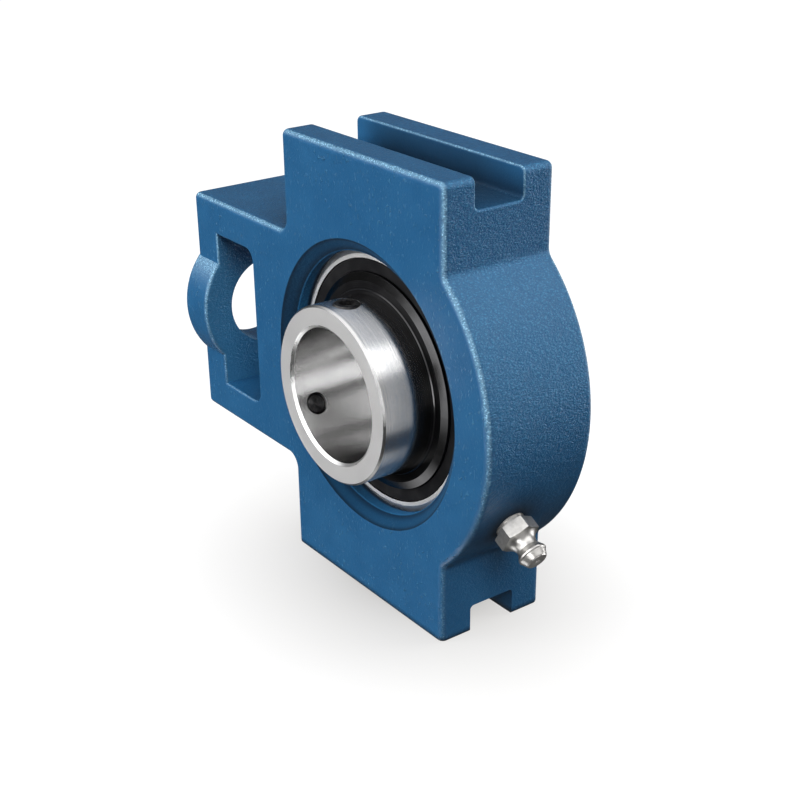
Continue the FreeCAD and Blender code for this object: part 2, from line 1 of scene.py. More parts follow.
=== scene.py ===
import math
from types import SimpleNamespace
import bpy
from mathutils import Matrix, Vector


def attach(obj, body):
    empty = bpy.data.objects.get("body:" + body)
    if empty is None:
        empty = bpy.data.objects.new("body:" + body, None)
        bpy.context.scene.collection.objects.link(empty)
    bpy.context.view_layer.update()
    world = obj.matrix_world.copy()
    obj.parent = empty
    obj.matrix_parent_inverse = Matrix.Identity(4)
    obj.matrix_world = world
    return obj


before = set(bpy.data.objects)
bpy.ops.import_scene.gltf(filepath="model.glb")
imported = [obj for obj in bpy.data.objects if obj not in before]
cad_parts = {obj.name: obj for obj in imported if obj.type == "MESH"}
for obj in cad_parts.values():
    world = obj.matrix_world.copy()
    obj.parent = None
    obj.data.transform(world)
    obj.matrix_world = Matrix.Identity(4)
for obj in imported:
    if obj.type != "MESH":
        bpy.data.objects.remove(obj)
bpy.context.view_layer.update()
print("frame loaded,", len(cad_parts), "nodes")
perMetre = 1000.0   # millimetres

# Camera, at the photograph's place and angle
cameraSetup = {
    "place": (0.23093510, -0.17315286, 0.12205220),
    "turn": (63.88499, 0.52536, 53.39802),   # degrees
    "sensor": 36,
    "lens": 63.51,
    "shift": (-0.00225, 0.0634),
    "nearest": 0.01,
}


def addCamera(setup):
    data = bpy.data.cameras.new("camera")
    data.sensor_width = setup["sensor"]
    data.lens = setup["lens"]
    data.shift_x, data.shift_y = setup["shift"]
    data.clip_start = setup["nearest"]
    camera = bpy.data.objects.new("camera", data)
    camera.location = setup["place"]
    camera.rotation_euler = [math.radians(degrees) for degrees in setup["turn"]]
    bpy.context.scene.collection.objects.link(camera)
    bpy.context.scene.camera = camera


addCamera(cameraSetup)
print("camera placed")


# A wire of a material: one output socket, with sums that add Math nodes
class Wire:
    def __init__(self, tree, socket=None):
        self.tree = tree
        self.socket = socket

    # Adds any shader node: settings first, then its inputs, each a number, a colour or another wire
    def node(self, kind, inputs=None, output=0, **settings):
        added = self.tree.nodes.new("ShaderNode" + kind)
        for name, setting in settings.items():
            setattr(added, name, setting)
        for name, given in (inputs or {}).items():
            if isinstance(given, Wire):
                self.tree.links.new(given.socket, added.inputs[name])
            else:
                added.inputs[name].default_value = given
        return Wire(self.tree, added.outputs[output])

    def sum(self, operation, *others, clamp=False):
        inputs = dict(enumerate((self, *others)))
        return self.node("Math", inputs, operation=operation, use_clamp=clamp)

    def __add__(self, other):
        return self.sum("ADD", other)

    def __radd__(self, other):
        return self.sum("ADD", other)

    def __sub__(self, other):
        return self.sum("SUBTRACT", other)

    def __rsub__(self, other):
        return self.node("Math", {0: other, 1: self}, operation="SUBTRACT")

    def __mul__(self, other):
        return self.sum("MULTIPLY", other)

    def __rmul__(self, other):
        return self.sum("MULTIPLY", other)

    def __abs__(self):
        return self.sum("ABSOLUTE")

    # Kept between 0 and 1
    def clamped(self):
        return self.sum("ADD", 0.0, clamp=True)

    # A smooth step from 0 at low to 1 at high
    def step(self, low, high):
        inputs = {"Value": self, "From Min": low, "From Max": high}
        return self.node("MapRange", inputs, interpolation_type="SMOOTHSTEP")

    # A smooth step from least at low to 1 at high
    def fade(self, low, high, least):
        return self.step(low, high) * (1.0 - least) + least

    # Straight from the range low..high to first..last
    def spread(self, low, high, first, last):
        inputs = {"Value": self, "From Min": low, "From Max": high, "To Min": first, "To Max": last}
        return self.node("MapRange", inputs)

    # From this number toward another, as far as a share from 0 to 1 says
    def toward(self, other, share):
        return self + share * (other - self)

    # Between two colours, by this wire from 0 to 1
    def colours(self, first, second):
        inputs = {0: self, 6: asColour(first), 7: asColour(second)}
        return self.node("Mix", inputs, output=2, data_type="RGBA")

    def vector(self, operation, other=None, output=0):
        inputs = {0: self}
        if other is not None:
            inputs["Scale" if operation == "SCALE" else 1] = other
        return self.node("VectorMath", inputs, output=output, operation=operation)

    def times(self, factors):
        return self.vector("MULTIPLY", factors)

    def dot(self, other):
        return self.vector("DOT_PRODUCT", other, output="Value")

    def length(self):
        return self.vector("LENGTH", output="Value")

    def axis(self, name):
        return self.node("SeparateXYZ", {"Vector": self}, output=name)

    # The surface's direction, whichever wire of the material asks
    def facing(self):
        return self.node("TexCoord", output="Normal")

    # Fractal noise of this vector; size is in millimetres, as the vector is
    def noise(self, size, detail, rough, dimensions="3D"):
        inputs = {"Scale": 1 / size, "Detail": detail, "Roughness": rough}
        inputs["W" if dimensions == "1D" else "Vector"] = self
        return self.node("TexNoise", inputs, noise_dimensions=dimensions)

    # The same of one number, such as a radius
    def lineNoise(self, size, detail, rough):
        return self.noise(size, detail, rough, "1D")

    # A relief whose height is this wire, over a distance in metres
    def relief(self, distance):
        return self.node("Bump", {"Height": self, "Distance": distance})


def asColour(given):
    return given if isinstance(given, Wire) else (*given, 1.0)


# A new material with some numbers on its shader, and the object's own coordinates in millimetres
def newFinish(name, numbers):
    material = bpy.data.materials.new(name)
    material.use_nodes = True
    shader = material.node_tree.nodes["Principled BSDF"]
    for socket, number in numbers.items():
        shader.inputs[socket].default_value = number
    place = Wire(material.node_tree).node("TexCoord", output="Object").vector("SCALE", perMetre)
    return material, shader, place


def drive(shader, wires):
    for socket, wire in wires.items():
        wire.tree.links.new(wire.socket, shader.inputs[socket])


# Distance from the shaft's axis
def shaftRadius(place):
    return place.times((1.0, 0.0, 1.0)).length()


noiseMiddle = (0.3, 0.7)   # nearly all of a noise lies between these
nippleSlope = math.radians(28.7)
nippleAxis = (math.cos(nippleSlope), 0.0, -math.sin(nippleSlope))
nipplePlace = (0.0, -3.4, 0.0)

# Paint over cast iron: grainy on the sides that the mould's sand made, smoother on the front.
# Sizes are in millimetres, and a noise is its size, its detail and its roughness.
castPaint = {
    "film": (0.0145, 0.098, 0.234),        # colour where the paint is thick,
    "grainAndLightColour": (0.070, 0.276, 0.500),         # where grains stand out of it, and where light is painted on
    "edgeHighlight": (0.350, 0.680, 0.930),       # and the painted highlight on edges that face the lamps
    "index": 1.45,
    "specular": 0.45,
    "coat": 0.12,
    "coatRoughness": 0.25,
    "roughness": (0.28, 0.44),
    "roughLumps": 0.4,           # the lumps' share in the roughness; the rest is the grit's
    "edgeGloss": 0.10,           # rounded edges are so much less rough
    # The noises
    "alongShaft": (1.0, 0.60, 1.0),        # grains are longer along the shaft
    "grain": (0.80, 3.0, 0.6),
    "grit": (0.32, 2.0, 0.6),
    "brightGrit": (0.53, 0.66),
    "lumps": (6.0, 3.0, 0.55),
    "broad": (28.0, 2.0, 0.5),
    "upright": (1.0, 1.0, 0.55),           # scars are longer upright
    "scars": (0.70, 2.0, 0.5),
    "scarLevels": (0.60, 0.70),
    "patches": (8.0, 2.0, 0.5),
    "patchLevels": (0.40, 0.62, 0.15),
    "scarDepth": (8.0, 9.0),               # scars lie only on the front and on the back
    # Which faces count as the front, and which as an edge, by how far they look along the shaft
    "front": (0.55, 0.97),
    "edgeStart": (0.22, 0.55),
    "edgeEnd": (0.74, 0.975),
    "edgeRadius": (33.0, 34.0),            # only outside the mouth
    # How light the paint is everywhere, and how much each cause adds, painted light among them
    "tone": 0.06,
    "broadTone": 0.16,
    "lumpTone": 0.14,
    "brightTone": 0.66,
    "grainTone": 0.40,
    "scarTone": 0.60,
    "gritTone": 0.20,
    "litFaceTone": 0.20,
    "litSide": (0.75, 0.0, 0.65),         # painted light: faces that look this way, toward the lamps, are painted lighter,
    "litFaces": (0.70, 1.0),              # the more so, the straighter they look there
    "litEdges": (-0.1, 0.6, 0.1),
    "edgeHighlightHeight": (-30.0, 22.0, 0.25),
    "brightEdgeHighlight": 0.90,
    "grainEdgeHighlight": 0.72,
    # Painted shade: fewer light grains show on faces that look down, toward the tail or straight up,
    # and low down, where the side relief is lower too
    "lookingDown": (-0.70, 0.05, 0.4),
    "lookingBack": (-0.6, 0.1, 0.5),
    "lookingUp": (0.85, 0.98),
    "upShare": 0.45,
    "runs": (-26.0, 14.0, 0.25),
    # Painted light: the tail's end wall, inside the window, is painted lighter, with fewer grains
    "endWall": (-52.0, -48.0),
    "endWallFacing": (0.5, 0.9),
    "endWallLight": 0.40,
    "endWallShare": 0.5,
    # Radii of the cone round the bearing, which is painted in shade and dull, with a painted sheen stripe
    # that is darker toward the tail; then how bright both are
    "lip": 29.5,
    "lipBlur": 0.3,
    "rim": 32.5,
    "rimBlur": 0.1,
    "mouthShade": 0.13,
    "sheenStripe": 0.36,
    "stripeStart": 1.6,
    "stripeEnd": 0.9,
    "sheenStripeTailward": (-31.0, -19.0, 0.35),
    # Painted shade: the guide slots are darker toward their middle and toward their floor
    "slotWidth": (5.9, 6.3),
    "slotHeight": (40.0, 43.0),
    "slotFacing": (0.4, 0.8),
    "slotCorner": (47.0, 49.0),            # below this no edge carries the painted highlight
    "slotLength": (13.95, 31.0, 0.36, 0.95),
    "slotFloor": (44.6, 47.5, 0.65),
    "slotDull": 0.7,
    # Painted shade also lies round the nipple, by the distance from its middle line, and at the foot, by
    # height
    "oil": (3.9, 12.0, 0.12, 1.0),
    "nippleShadeRadius": (38.0, 42.0),
    "nippleShadeSide": (20.0, 24.0),
    "foot": (-50.8, -49.3, 0.05, 1.0),
    # Heights of the relief in metres, and how much each noise adds to it
    "frontHeight": 0.000150,
    "sideHeight": 0.00050,
    "grainHeight": 0.6,
    "gritHeight": 0.55,
    "thickHeight": 0.25,                   # this share of it stays under paint of any thickness
    "frontGritHeight": 0.5,
    "lumpHeight": 1.2,
    "scarHeight": 1.6,
}


# What the paint depends on: noises, places and directions
def readCasting(given, place):
    spot = SimpleNamespace(place=place, facing=place.facing(), radius=shaftRadius(place))
    towardY = abs(spot.facing.axis("Y"))
    spot.side = 1.0 - towardY.step(*given["front"])
    stretched = place.times(given["alongShaft"])
    spot.grain = stretched.noise(*given["grain"])
    spot.grit = stretched.noise(*given["grit"])
    spot.bright = spot.grit.step(*given["brightGrit"])
    spot.lumps = place.noise(*given["lumps"])
    spot.x = place.axis("X")
    spot.z = place.axis("Z")
    spot.height = abs(spot.z)
    across = abs(place.axis("Y"))
    # Short upright scars that stand out of the front, in some places only
    scars = place.times(given["upright"]).noise(*given["scars"]).step(*given["scarLevels"])
    scars = scars * place.noise(*given["patches"]).fade(*given["patchLevels"])
    spot.scars = scars * across.step(*given["scarDepth"])
    # Rounded edges lie between the faces; they carry the painted highlight and are less rough
    edge = towardY.step(*given["edgeStart"]) * (1.0 - towardY.step(*given["edgeEnd"]))
    spot.edge = edge * spot.radius.step(*given["edgeRadius"])
    # Lower down fewer light grains show, a painted shade, and the side relief is lower
    spot.bare = spot.z.fade(*given["runs"])
    slot = (1.0 - across.step(*given["slotWidth"])) * spot.height.step(*given["slotHeight"])
    spot.slot = slot * (1.0 - abs(spot.facing.axis("X")).step(*given["slotFacing"]))
    # Painted shade on the ring round the nipple, by the distance from the nipple's middle line
    fromNipple = place.vector("SUBTRACT", nipplePlace).vector("CROSS_PRODUCT", nippleAxis).length()
    onRing = spot.radius.step(*given["nippleShadeRadius"]) * spot.x.step(*given["nippleShadeSide"])
    spot.oily = onRing * (1.0 - fromNipple.spread(*given["oil"]))
    return spot


# The paint's colour before any dirt
def paintColour(given, spot):
    # Painted light: worn is how far a face looks toward the lamps, and such faces and edges are painted
    # lighter
    worn = spot.facing.dot(given["litSide"])
    up = spot.facing.axis("Z")
    endWall = (1.0 - spot.x.step(*given["endWall"])) * spot.facing.axis("X").step(*given["endWallFacing"])
    # Painted shade: fewer light grains on faces that look down, toward the tail or straight up, and low
    # down
    share = up.fade(*given["lookingDown"]) * spot.facing.axis("X").fade(*given["lookingBack"])
    share = share * spot.bare * (1.0 - up.step(*given["lookingUp"]) * given["upShare"])
    share = share * (1.0 - endWall * given["endWallShare"])
    broad = spot.place.noise(*given["broad"])
    tone = given["tone"] + (broad - 0.5) * given["broadTone"] + (spot.lumps - 0.5) * given["lumpTone"]
    # Painted light on the end wall inside the window
    tone = tone + endWall * given["endWallLight"]
    grains = spot.bright * given["brightTone"] + (spot.grain - 0.5) * given["grainTone"]
    tone = tone + spot.side * (share * grains + worn.step(*given["litFaces"]) * given["litFaceTone"])
    front = spot.scars * given["scarTone"] + (spot.grit - 0.5) * given["gritTone"]
    tone = tone + (1.0 - spot.side) * front
    # Painted highlight on edges that face the lamps, weaker low down and off in the slots
    edgeHighlight = spot.edge * spot.z.fade(*given["edgeHighlightHeight"]) * worn.fade(*given["litEdges"])
    edgeHighlight = edgeHighlight * (spot.bright * given["brightEdgeHighlight"] + spot.grain * given["grainEdgeHighlight"])
    edgeHighlight = edgeHighlight * (1.0 - spot.slot * (1.0 - spot.height.step(*given["slotCorner"])))
    paint = tone.clamped().colours(given["film"], given["grainAndLightColour"])
    return edgeHighlight.clamped().colours(paint, given["edgeHighlight"])


# Painted shade: how bright the paint is in the mouth, in the guide slots, round the nipple and at the
# foot
def paintShade(given, spot, clear):
    radius, lip, rim = spot.radius, given["lip"], given["rim"]
    # Painted shade in the mouth, with a painted sheen stripe that is darker toward the tail
    sheenStripe = radius.step(lip, lip + given["stripeStart"])
    sheenStripe = sheenStripe * (1.0 - radius.step(rim - given["stripeEnd"], rim))
    shade = given["mouthShade"] + given["sheenStripe"] * sheenStripe * spot.x.fade(*given["sheenStripeTailward"])
    shade = shade + (1.0 - radius.step(lip, lip + given["lipBlur"]))
    # Painted shade in the guide slots
    slotShade = abs(spot.x).spread(*given["slotLength"]) * spot.height.fade(*given["slotFloor"])
    shade = shade.toward(1.0, clear) * slotShade.toward(1.0, 1.0 - spot.slot)
    # Painted shade round the nipple, and along the foot's bottom edges by height
    return shade * (1.0 - spot.oily) * spot.z.spread(*given["foot"])


def paintRelief(given, spot):
    thick = spot.bare * (1.0 - given["thickHeight"]) + given["thickHeight"]
    sides = (spot.grain * given["grainHeight"] + spot.grit * given["gritHeight"]) * thick
    sides = sides * (given["sideHeight"] / given["frontHeight"])
    front = spot.grit * given["frontGritHeight"] + spot.lumps * given["lumpHeight"]
    front = front + spot.scars * given["scarHeight"]
    return (spot.side * sides + (1.0 - spot.side) * front).relief(given["frontHeight"])


def makeCastPaint(given):
    numbers = {
        "IOR": given["index"],
        "Specular IOR Level": given["specular"],
        "Coat Roughness": given["coatRoughness"],
    }
    material, shader, place = newFinish("castPaint", numbers)
    spot = readCasting(given, place)
    clear = spot.radius.step(given["rim"] - given["rimBlur"], given["rim"] + given["rimBlur"])
    paint = paintColour(given, spot).vector("SCALE", paintShade(given, spot, clear))
    glossy = clear * (1.0 - spot.slot * given["slotDull"]) * (1.0 - spot.oily)
    rough = spot.grit.toward(spot.lumps, given["roughLumps"]).spread(*noiseMiddle, *given["roughness"])
    rough = (rough - spot.edge * given["edgeGloss"]).toward(1.0, 1.0 - glossy)
    drive(shader, {"Base Color": paint, "Roughness": rough, "Coat Weight": glossy * given["coat"]})
    drive(shader, {"Normal": paintRelief(given, spot)})
    return material


# Grooves that a lathe or a grinding wheel leaves
grooves = {
    "outward": 1.31,     # a line's number grows so much outward, against 1 along the axis
    "finest": 1000.0,    # scale of the noise that gives every spot a tilt of its own
}


# Where a point of a turned piece lies: along its axis, out from it, on which line, and the way
# across its grooves
def readTurned(place, centre, direction):
    offset = place.vector("SUBTRACT", centre)
    along = offset.dot(direction)
    onAxis = place.node("CombineXYZ", dict(enumerate(direction))).vector("SCALE", along)
    outward = offset.vector("SUBTRACT", onAxis)
    spot = SimpleNamespace(place=place, along=along, radius=outward.length())
    spot.line = along + spot.radius * grooves["outward"]
    groove = outward.vector("CROSS_PRODUCT", direction).vector("NORMALIZE")
    spot.across = groove.vector("CROSS_PRODUCT", place.facing())
    return spot


# Grooves too fine to see tilt the surface a little, each its own way, which draws every reflection
# out across them; lean tilts all of it
def groovedNormal(given, spot, spread, lean=0.0):
    finest = spot.place.vector("SCALE", grooves["finest"])
    groove = spot.place.node("TexWhiteNoise", {"Vector": finest}) - 0.5
    ripple = spot.line.lineNoise(*given["ripple"]) - 0.5
    tilt = groove * 2.0 * spread + ripple * given["rippleTilt"] + lean
    tilted = spot.place.facing().vector("ADD", spot.across.vector("SCALE", tilt)).vector("NORMALIZE")
    settings = {"vector_type": "NORMAL", "convert_from": "OBJECT", "convert_to": "WORLD"}
    return spot.place.node("VectorTransform", {"Vector": tilted}, **settings)


ringSteel = {
    "colour": (0.63, 0.627, 0.625),
    "shade": (0.55, 0.547, 0.546),
    "roughness": (0.16, 0.23),
    "lines": (0.35, 3.0, 0.6),
    "haze": (5.0, 3.0, 0.6),
    "lineShade": 0.5,              # the lines' share in the colour, and in the roughness
    "lineRough": 0.6,
    "ripple": (0.30, 2.0, 0.6),
    "rippleTilt": 0.20,
    "groundSpread": 0.22,
    "boreSpread": 0.36,
    "boreRadius": (15.3, 15.4),
    "groundLean": (-0.18, 0.31),   # the ground lands turn toward their free ends
    "crown": (13.2, 15.8),         # from here to here along the shaft
    "landRadius": (19.0, 19.5),
    "landFacing": (0.3, 0.6),
    "faceFacing": (0.6, 0.9),
    "faceSpread": 0.12,
    "faceRoughness": 0.30,         # more than on the lands and in the bore
    # Painted light: the ring faces get a lighter steel colour than the lands, the outer ring's face the
    # lightest
    "faceColour": (0.93, 0.925, 0.925),
    "outerFaceColour": (1.0, 0.995, 0.99),
    "outerRadius": (24.9, 25.0),
    "cornerShade": (0.30, 0.30, 0.30),    # painted shade: the inner ring's outer corners are darkened, which dims their reflection
    "cornerInside": (19.2, 19.3),
    "cornerOutside": (20.2, 20.3),
    "cornerStart": (0.25, 0.40),
    "cornerEnd": (0.93, 0.97),
}


def makeRingSteel(given):
    material, shader, place = newFinish("ringSteel", {"Metallic": 1.0})
    spot = readTurned(place, (0, 0, 0), (0, 1, 0))
    towardY = abs(place.facing().axis("Y"))
    face = towardY.step(*given["faceFacing"])
    bore = 1.0 - spot.radius.step(*given["boreRadius"])
    spread = bore * (given["boreSpread"] - given["groundSpread"]) + given["groundSpread"]
    land = spot.radius.step(*given["landRadius"]) * (1.0 - towardY.step(*given["landFacing"]))
    inner, outer = given["groundLean"]
    crown = abs(spot.along).step(*given["crown"]) * (outer - inner) + inner
    lean = land * crown * spot.along.sum("SIGN")
    lines = spot.line.lineNoise(*given["lines"])
    haze = place.noise(*given["haze"])
    dull = haze.toward(lines, given["lineShade"]).step(*noiseMiddle)
    # Painted light: a lighter steel colour on the faces
    onOuter = spot.radius.step(*given["outerRadius"])
    faceColour = onOuter.colours(given["faceColour"], given["outerFaceColour"])
    colour = face.colours(dull.colours(given["colour"], given["shade"]), faceColour)
    # Painted shade on the inner ring's outer corners
    corner = spot.radius.step(*given["cornerInside"]) * (1.0 - spot.radius.step(*given["cornerOutside"]))
    corner = corner * towardY.step(*given["cornerStart"]) * (1.0 - towardY.step(*given["cornerEnd"]))
    rough = haze.toward(lines, given["lineRough"]).spread(*noiseMiddle, *given["roughness"])
    drive(shader, {
        "Base Color": corner.colours(colour, given["cornerShade"]),
        "Roughness": rough + face * given["faceRoughness"],
        "Normal": groovedNormal(given, spot, spread.toward(given["faceSpread"], face), lean),
    })
    return material


nickelPlate = {
    "colour": (0.52, 0.51, 0.492),
    "shade": (0.40, 0.39, 0.377),
    "shadeLevels": (0.35, 0.7),
    "roughness": (0.30, 0.42),
    "haze": (1.2, 3.0, 0.6),
    "tip": (53.05, 53.15),   # the flat end, in millimetres along the nipple, is painted lighter: a painted highlight
    "tipHighlight": (0.95, 0.93, 0.90),
    "spread": 0.07,
    "ripple": (0.25, 2.0, 0.6),
    "rippleTilt": 0.15,
}


def makeNickelPlate(given):
    material, shader, place = newFinish("nickelPlate", {"Metallic": 1.0})
    spot = readTurned(place, nipplePlace, nippleAxis)
    haze = place.noise(*given["haze"])
    colour = haze.step(*given["shadeLevels"]).colours(given["colour"], given["shade"])
    drive(shader, {
        "Base Color": spot.along.step(*given["tip"]).colours(colour, given["tipHighlight"]),
        "Roughness": haze.spread(*noiseMiddle, *given["roughness"]),
        "Normal": groovedNormal(given, spot, given["spread"]),
    })
    return material


flingerBlack = {
    "colour": (0.009, 0.009, 0.010),
    "worn": (0.018, 0.018, 0.019),
    "wornLevels": (0.40, 0.75),
    "specular": 0.03,
    "roughness": (0.13, 0.21),
    "lines": (0.5, 3.0, 0.6),
    "haze": (3.0, 2.0, 0.5),
    "lineShare": 0.6,                # the lines' share in the colour
    "bevelHighlight": (0.075, 0.075, 0.077),
    "bevelInside": (22.55, 22.65),   # radii between which the sheet slopes back; a lighter metallic colour there is a painted highlight
    "bevelOutside": (24.3, 24.4),
    "collarInside": (20.66, 20.70),  # radii of the collar's corner, which carries a painted highlight too
    "collarOutside": (20.84, 20.88),
    "collarShare": 0.6,
    "spread": 0.02,
    "ripple": (0.25, 2.0, 0.6),
    "rippleTilt": 0.03,
}


def makeFlingerBlack(given):
    material, shader, place = newFinish("flingerBlack", {"Specular IOR Level": given["specular"]})
    spot = readTurned(place, (0, 0, 0), (0, 1, 0))
    lines = spot.line.lineNoise(*given["lines"])
    haze = place.noise(*given["haze"])
    worn = haze.toward(lines, given["lineShare"]).step(*given["wornLevels"])
    bevel = spot.radius.step(*given["bevelInside"]) * (1.0 - spot.radius.step(*given["bevelOutside"]))
    collar = spot.radius.step(*given["collarInside"]) * (1.0 - spot.radius.step(*given["collarOutside"]))
    # Painted highlight on the bevel and on the collar's corner
    bright = bevel + collar * given["collarShare"]
    drive(shader, {
        "Base Color": bright.colours(worn.colours(given["colour"], given["worn"]), given["bevelHighlight"]),
        "Metallic": bright,
        "Roughness": haze.spread(*noiseMiddle, *given["roughness"]),
        "Normal": groovedNormal(given, spot, given["spread"]),
    })
    return material


sealRubber = {
    "colour": (0.010, 0.010, 0.011),
    "dust": (0.022, 0.022, 0.023),
    "dustLevels": (0.40, 0.75),
    "specular": 0.06,
    "roughness": (0.42, 0.58),
    "moulded": (0.4, 2.0, 0.5),
    "grain": (0.22, 3.0, 0.6),
    "haze": (4.0, 2.0, 0.5),
    "grainShare": 0.3,       # in the colour
    "height": 0.000012,      # metres
}


def makeSealRubber(given):
    material, shader, place = newFinish("sealRubber", {"Specular IOR Level": given["specular"]})
    moulded = shaftRadius(place).lineNoise(*given["moulded"])
    grain = place.noise(*given["grain"])
    haze = place.noise(*given["haze"])
    dusty = haze.toward(grain, given["grainShare"]).step(*given["dustLevels"])
    drive(shader, {
        "Base Color": dusty.colours(given["colour"], given["dust"]),
        "Roughness": haze.spread(*noiseMiddle, *given["roughness"]),
        "Normal": (grain + moulded).relief(given["height"]),
    })
    return material


# Plain metals: two colours, a roughness and perhaps a relief that all follow one noise
plainMetals = {
    "screw": {
        "name": "screwBlack", "metallic": 0.55, "noise": (0.6, 3.0, 0.6), "levels": (0.45, 0.75),
        "colour": (0.020, 0.020, 0.022), "worn": (0.055, 0.053, 0.050), "roughness": (0.26, 0.42),
        "height": 0.00003,
    },
    "ball": {
        "name": "ballChrome", "metallic": 1.0, "noise": (1.6, 3.0, 0.6), "levels": (0.40, 0.70),
        "colour": (0.66, 0.66, 0.65), "worn": (0.54, 0.53, 0.50), "roughness": (0.05, 0.12),
    },
    "cage": {
        "name": "cageSteel", "metallic": 1.0, "noise": (0.7, 4.0, 0.65), "levels": (0.35, 0.70),
        "colour": (0.48, 0.46, 0.42), "worn": (0.33, 0.32, 0.30), "roughness": (0.26, 0.44),
        "height": 0.00003, "stretch": (1.0, 3.5, 1.0),
    },
    "spring": {
        "name": "springSteel", "metallic": 1.0, "noise": (0.15, 3.0, 0.6), "levels": (0.35, 0.70),
        "colour": (0.42, 0.40, 0.37), "worn": (0.25, 0.24, 0.24), "roughness": (0.20, 0.34),
    },
}


def makePlainMetal(given):
    material, shader, place = newFinish(given["name"], {"Metallic": given["metallic"]})
    if "stretch" in given:
        place = place.times(given["stretch"])
    haze = place.noise(*given["noise"])
    colour = haze.step(*given["levels"]).colours(given["colour"], given["worn"])
    drive(shader, {"Base Color": colour, "Roughness": haze.spread(*noiseMiddle, *given["roughness"])})
    if "height" in given:
        drive(shader, {"Normal": haze.relief(given["height"])})
    return material


finishes = {
    "housing": makeCastPaint(castPaint),
    "ring": makeRingSteel(ringSteel),
    "nickel": makeNickelPlate(nickelPlate),
    "rubber": makeSealRubber(sealRubber),
    "flinger": makeFlingerBlack(flingerBlack),
}
for metal, given in plainMetals.items():
    finishes[metal] = makePlainMetal(given)
finishOf = {
    "housing": "housing", "outer_ring": "ring", "inner_ring": "ring", "front_seal": "rubber",
    "rear_seal": "rubber", "front_flinger": "flinger", "rear_flinger": "flinger", "cage_front": "cage",
    "cage_rear": "cage", "cage_rivets": "cage", "set_screw_1": "screw", "set_screw_2": "screw",
    "nipple_body": "nickel", "nipple_spring": "spring",
}
for name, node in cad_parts.items():
    for slot in node.material_slots:
        slot.material = finishes[finishOf.get(name, "ball")]   # the rest are balls
print("finishes on", len(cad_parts), "nodes")

# The nipple's thread, which shows between the casting and the hexagon; lengths in millimetres
nippleThread = {
    "root": 3.10,        # from the nipple's middle line
    "height": 0.34,
    "width": 0.72,
    "crest": 0.25,       # the crest's share of the width
    "pitch": 0.90,
    "turns": 2,
    "start": 42.00,      # from the shaft's middle, along the nipple
    "steps": 40,
    "merged": 0.0001,    # points closer than this are one
    "smooth": 35,        # degrees
}


def addNippleThread(given):
    bpy.ops.object.select_all(action="DESELECT")
    height, width = given["height"] / perMetre, given["width"] / perMetre
    middle = (given["root"] / perMetre + height / 2, 0.0, given["start"] / perMetre)
    bpy.ops.mesh.primitive_plane_add(size=1, location=middle, rotation=(math.radians(90), 0, 0))
    thread = bpy.context.object
    thread.name = "nipple_thread"
    thread.scale = (height, width, 1)
    bpy.ops.object.transform_apply(location=True, rotation=True, scale=True)
    for point in thread.data.vertices:
        point.select = point.co.x > middle[0]
    bpy.ops.object.mode_set(mode="EDIT")
    bpy.ops.mesh.select_mode(type="VERT")
    bpy.ops.transform.resize(value=(1, 1, given["crest"]), center_override=middle)
    bpy.ops.object.mode_set(mode="OBJECT")
    screw = thread.modifiers.new("turns", "SCREW")
    screw.axis = "Z"
    screw.screw_offset = given["pitch"] / perMetre
    screw.iterations = given["turns"]
    screw.steps = screw.render_steps = given["steps"]
    bpy.ops.object.modifier_apply(modifier="turns")
    bpy.ops.object.mode_set(mode="EDIT")
    bpy.ops.mesh.select_all(action="SELECT")
    bpy.ops.mesh.remove_doubles(threshold=given["merged"] / perMetre)
    bpy.ops.mesh.fill_holes(sides=4)
    bpy.ops.mesh.normals_make_consistent(inside=False)
    bpy.ops.object.mode_set(mode="OBJECT")
    thread.rotation_euler = Vector(nippleAxis).to_track_quat("Z", "Y").to_euler()
    thread.location = [number / perMetre for number in nipplePlace]
    bpy.ops.object.transform_apply(location=True, rotation=True, scale=True)
    bpy.ops.object.shade_smooth_by_angle(angle=math.radians(given["smooth"]))
    thread.data.materials.append(finishes["nickel"])
    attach(thread, "housing")


addNippleThread(nippleThread)
print("nipple thread cut")

# Studio: soft lamps, and a dim room with bright cards that the metal mirrors
studio = {
    "above": 0.045,          # light on matt surfaces from above the horizon, and from below it
    "below": 0.03,
    "horizon": (-0.15, 0.15),
    "dim": 0.06,             # what the metal mirrors between the cards
    "cardBlur": 0.08,
    "bounced": (0.3, 0.7),   # light that a matt surface has thrown back finds no cards
    "cards": {
        # angle about the shaft from the top, half of its even part, half of the whole, brightness,
        # and where it begins and ends along the shaft
        "wallCard": (6, 44, 60, 0.95, -0.30, 0.40),
        "sideCard": (88, 30, 42, 0.55, -0.30, 0.40),
        "keyCard": (38, 5, 21, 1.70, -0.30, 0.40),
        "lowCard": (161, 5, 14, 0.45, -0.30, 0.40),
        "backCard": (10, 75, 110, 0.12, 0.40, 2.0),
        "sheenCard": (30, 14, 40, 3.00, 0.40, 0.75),
        "rightCard": (112, 12, 30, 7.00, 0.84, 2.0),
        "frontCard": (-120, 45, 90, 2.60, -2.0, -0.88),
        "ceilingCard": (-15, 50, 66, 3.20, -2.0, -0.32),
        "edgeCard": (60, 30, 65, 1.00, -0.95, -0.60),
        "floorCard": (-163, 12, 24, 2.40, -0.60, -0.25),
    },
    "lamps": {
        # direction from the object, distance, size across and along, watts, and the kind of light:
        # soft falls on matt surfaces only, and shine is only mirrored
        "keyLamp": ((0.68, -0.30, 0.66), 0.80, (0.40, 0.40), 3.7, "soft"),
        "frontLamp": ((-0.45, -0.85, 0.16), 1.20, (0.60, 0.50), 14.0, "soft"),
        "backLamp": ((0.28, 0.80, 0.52), 0.80, (0.50, 0.40), 3.5, "soft"),
        "edgeLamp": ((0.456, -0.831, 0.303), 0.80, (0.25, 0.25), 0.6, "shine"),
        "boreLamp": ((0.75, -0.62, -0.02), 0.60, (0.09, 0.30), 1.0, "shine"),
    },
}


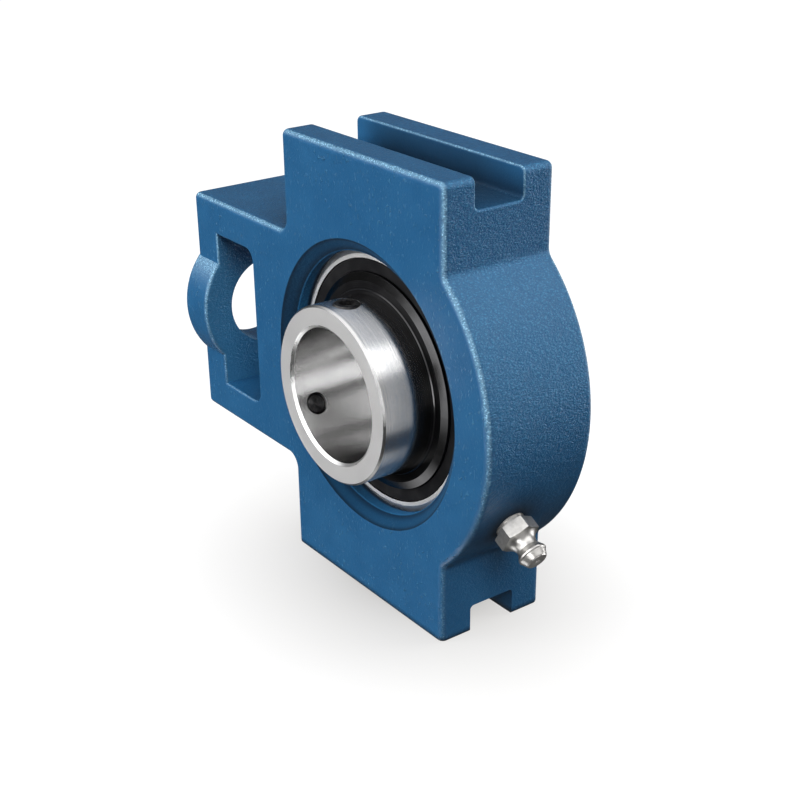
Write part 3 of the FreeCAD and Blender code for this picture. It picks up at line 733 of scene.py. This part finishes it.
def addLamp(name, direction, distance, size, watts, kind):
    light = bpy.data.lights.new(name, "AREA")
    light.shape = "RECTANGLE"
    light.size, light.size_y = size
    light.energy = watts
    lamp = bpy.data.objects.new(name, light)
    way = Vector(direction).normalized()
    lamp.location = way * distance
    lamp.rotation_euler = way.to_track_quat("Z", "Y").to_euler()
    lamp.visible_camera = False
    lamp.visible_diffuse = kind != "shine"
    lamp.visible_glossy = kind != "soft"
    bpy.context.scene.collection.objects.link(lamp)


def addRoom(given):
    world = bpy.data.worlds.new("room")
    world.use_nodes = True
    bpy.context.scene.world = world
    tree = world.node_tree
    tree.nodes.clear()
    start = Wire(tree)
    straight = start.node("LightPath", output="Is Camera Ray")
    mirror = start.node("LightPath", output="Is Glossy Ray")
    fresh = 1.0 - start.node("LightPath", output="Diffuse Depth").step(*given["bounced"])
    way = start.node("TexCoord", output="Generated")
    flat = way.times((1.0, 0.0, 1.0)).vector("NORMALIZE")
    depth, blur = way.axis("Y"), given["cardBlur"]
    shine = given["dim"]
    for angle, even, whole, level, first, last in given["cards"].values():
        middle = (math.sin(math.radians(angle)), 0.0, math.cos(math.radians(angle)))
        card = flat.dot(middle).step(math.cos(math.radians(whole)), math.cos(math.radians(even)))
        ends = depth.step(first - blur, first + blur) - depth.step(last - blur, last + blur)
        shine = shine + card * ends * level
    upper = way.axis("Z").step(*given["horizon"])
    soft = upper * given["above"] + (1.0 - upper) * given["below"]
    strength = mirror * fresh * shine + (1.0 - mirror) * soft
    strength = straight + (1.0 - straight) * strength
    back = start.node("Background", {"Color": (1, 1, 1, 1), "Strength": strength})
    out = tree.nodes.new("ShaderNodeOutputWorld")
    tree.links.new(back.socket, out.inputs["Surface"])


# A pale floor with a painted shadow round the part's foot
floorPaper = {
    "level": -0.051,                     # metres, as its size
    "size": 6,
    "colour": (0.16, 0.16, 0.161),
    "darker": 0.985,                     # between the fibres
    "fibres": (3.0, 2.0, 0.5),
    "roughness": 0.9,
    "shadowGlow": (0.412, 0.40, 0.384),
    "shadowShape": (0.77, 1.0, 0.0),     # longer along the tail
    "shadowSize": (10.0, 60.0),          # from here to here, in millimetres, it fades
    "shadowPower": 0.6,
}


def addFloor(given):
    bpy.ops.object.select_all(action="DESELECT")
    bpy.ops.mesh.primitive_plane_add(size=given["size"], location=(0, 0, given["level"]))
    floor = bpy.context.object
    floor.name = "floor"
    numbers = {"Roughness": given["roughness"], "Specular IOR Level": 0.0, "Emission Strength": 1.0}
    material, shader, place = newFinish("floorPaper", numbers)
    darker = [part * given["darker"] for part in given["colour"]]
    away = place.times(given["shadowShape"]).length().spread(*given["shadowSize"], 0.0, 1.0)
    glow = away.sum("POWER", given["shadowPower"]).colours(given["shadowGlow"], (1.0, 1.0, 1.0))
    fibres = place.noise(*given["fibres"])
    drive(shader, {"Base Color": fibres.colours(given["colour"], darker), "Emission Color": glow})
    floor.visible_diffuse = False
    floor.visible_glossy = False
    floor.data.materials.append(material)


addRoom(studio)
addFloor(floorPaper)
for lampName, settings in studio["lamps"].items():
    addLamp(lampName, *settings)
view = bpy.context.scene.view_settings
view.view_transform = "Standard"
view.look = "None"
view.exposure = 0.0
view.gamma = 1.0
print("studio lit")
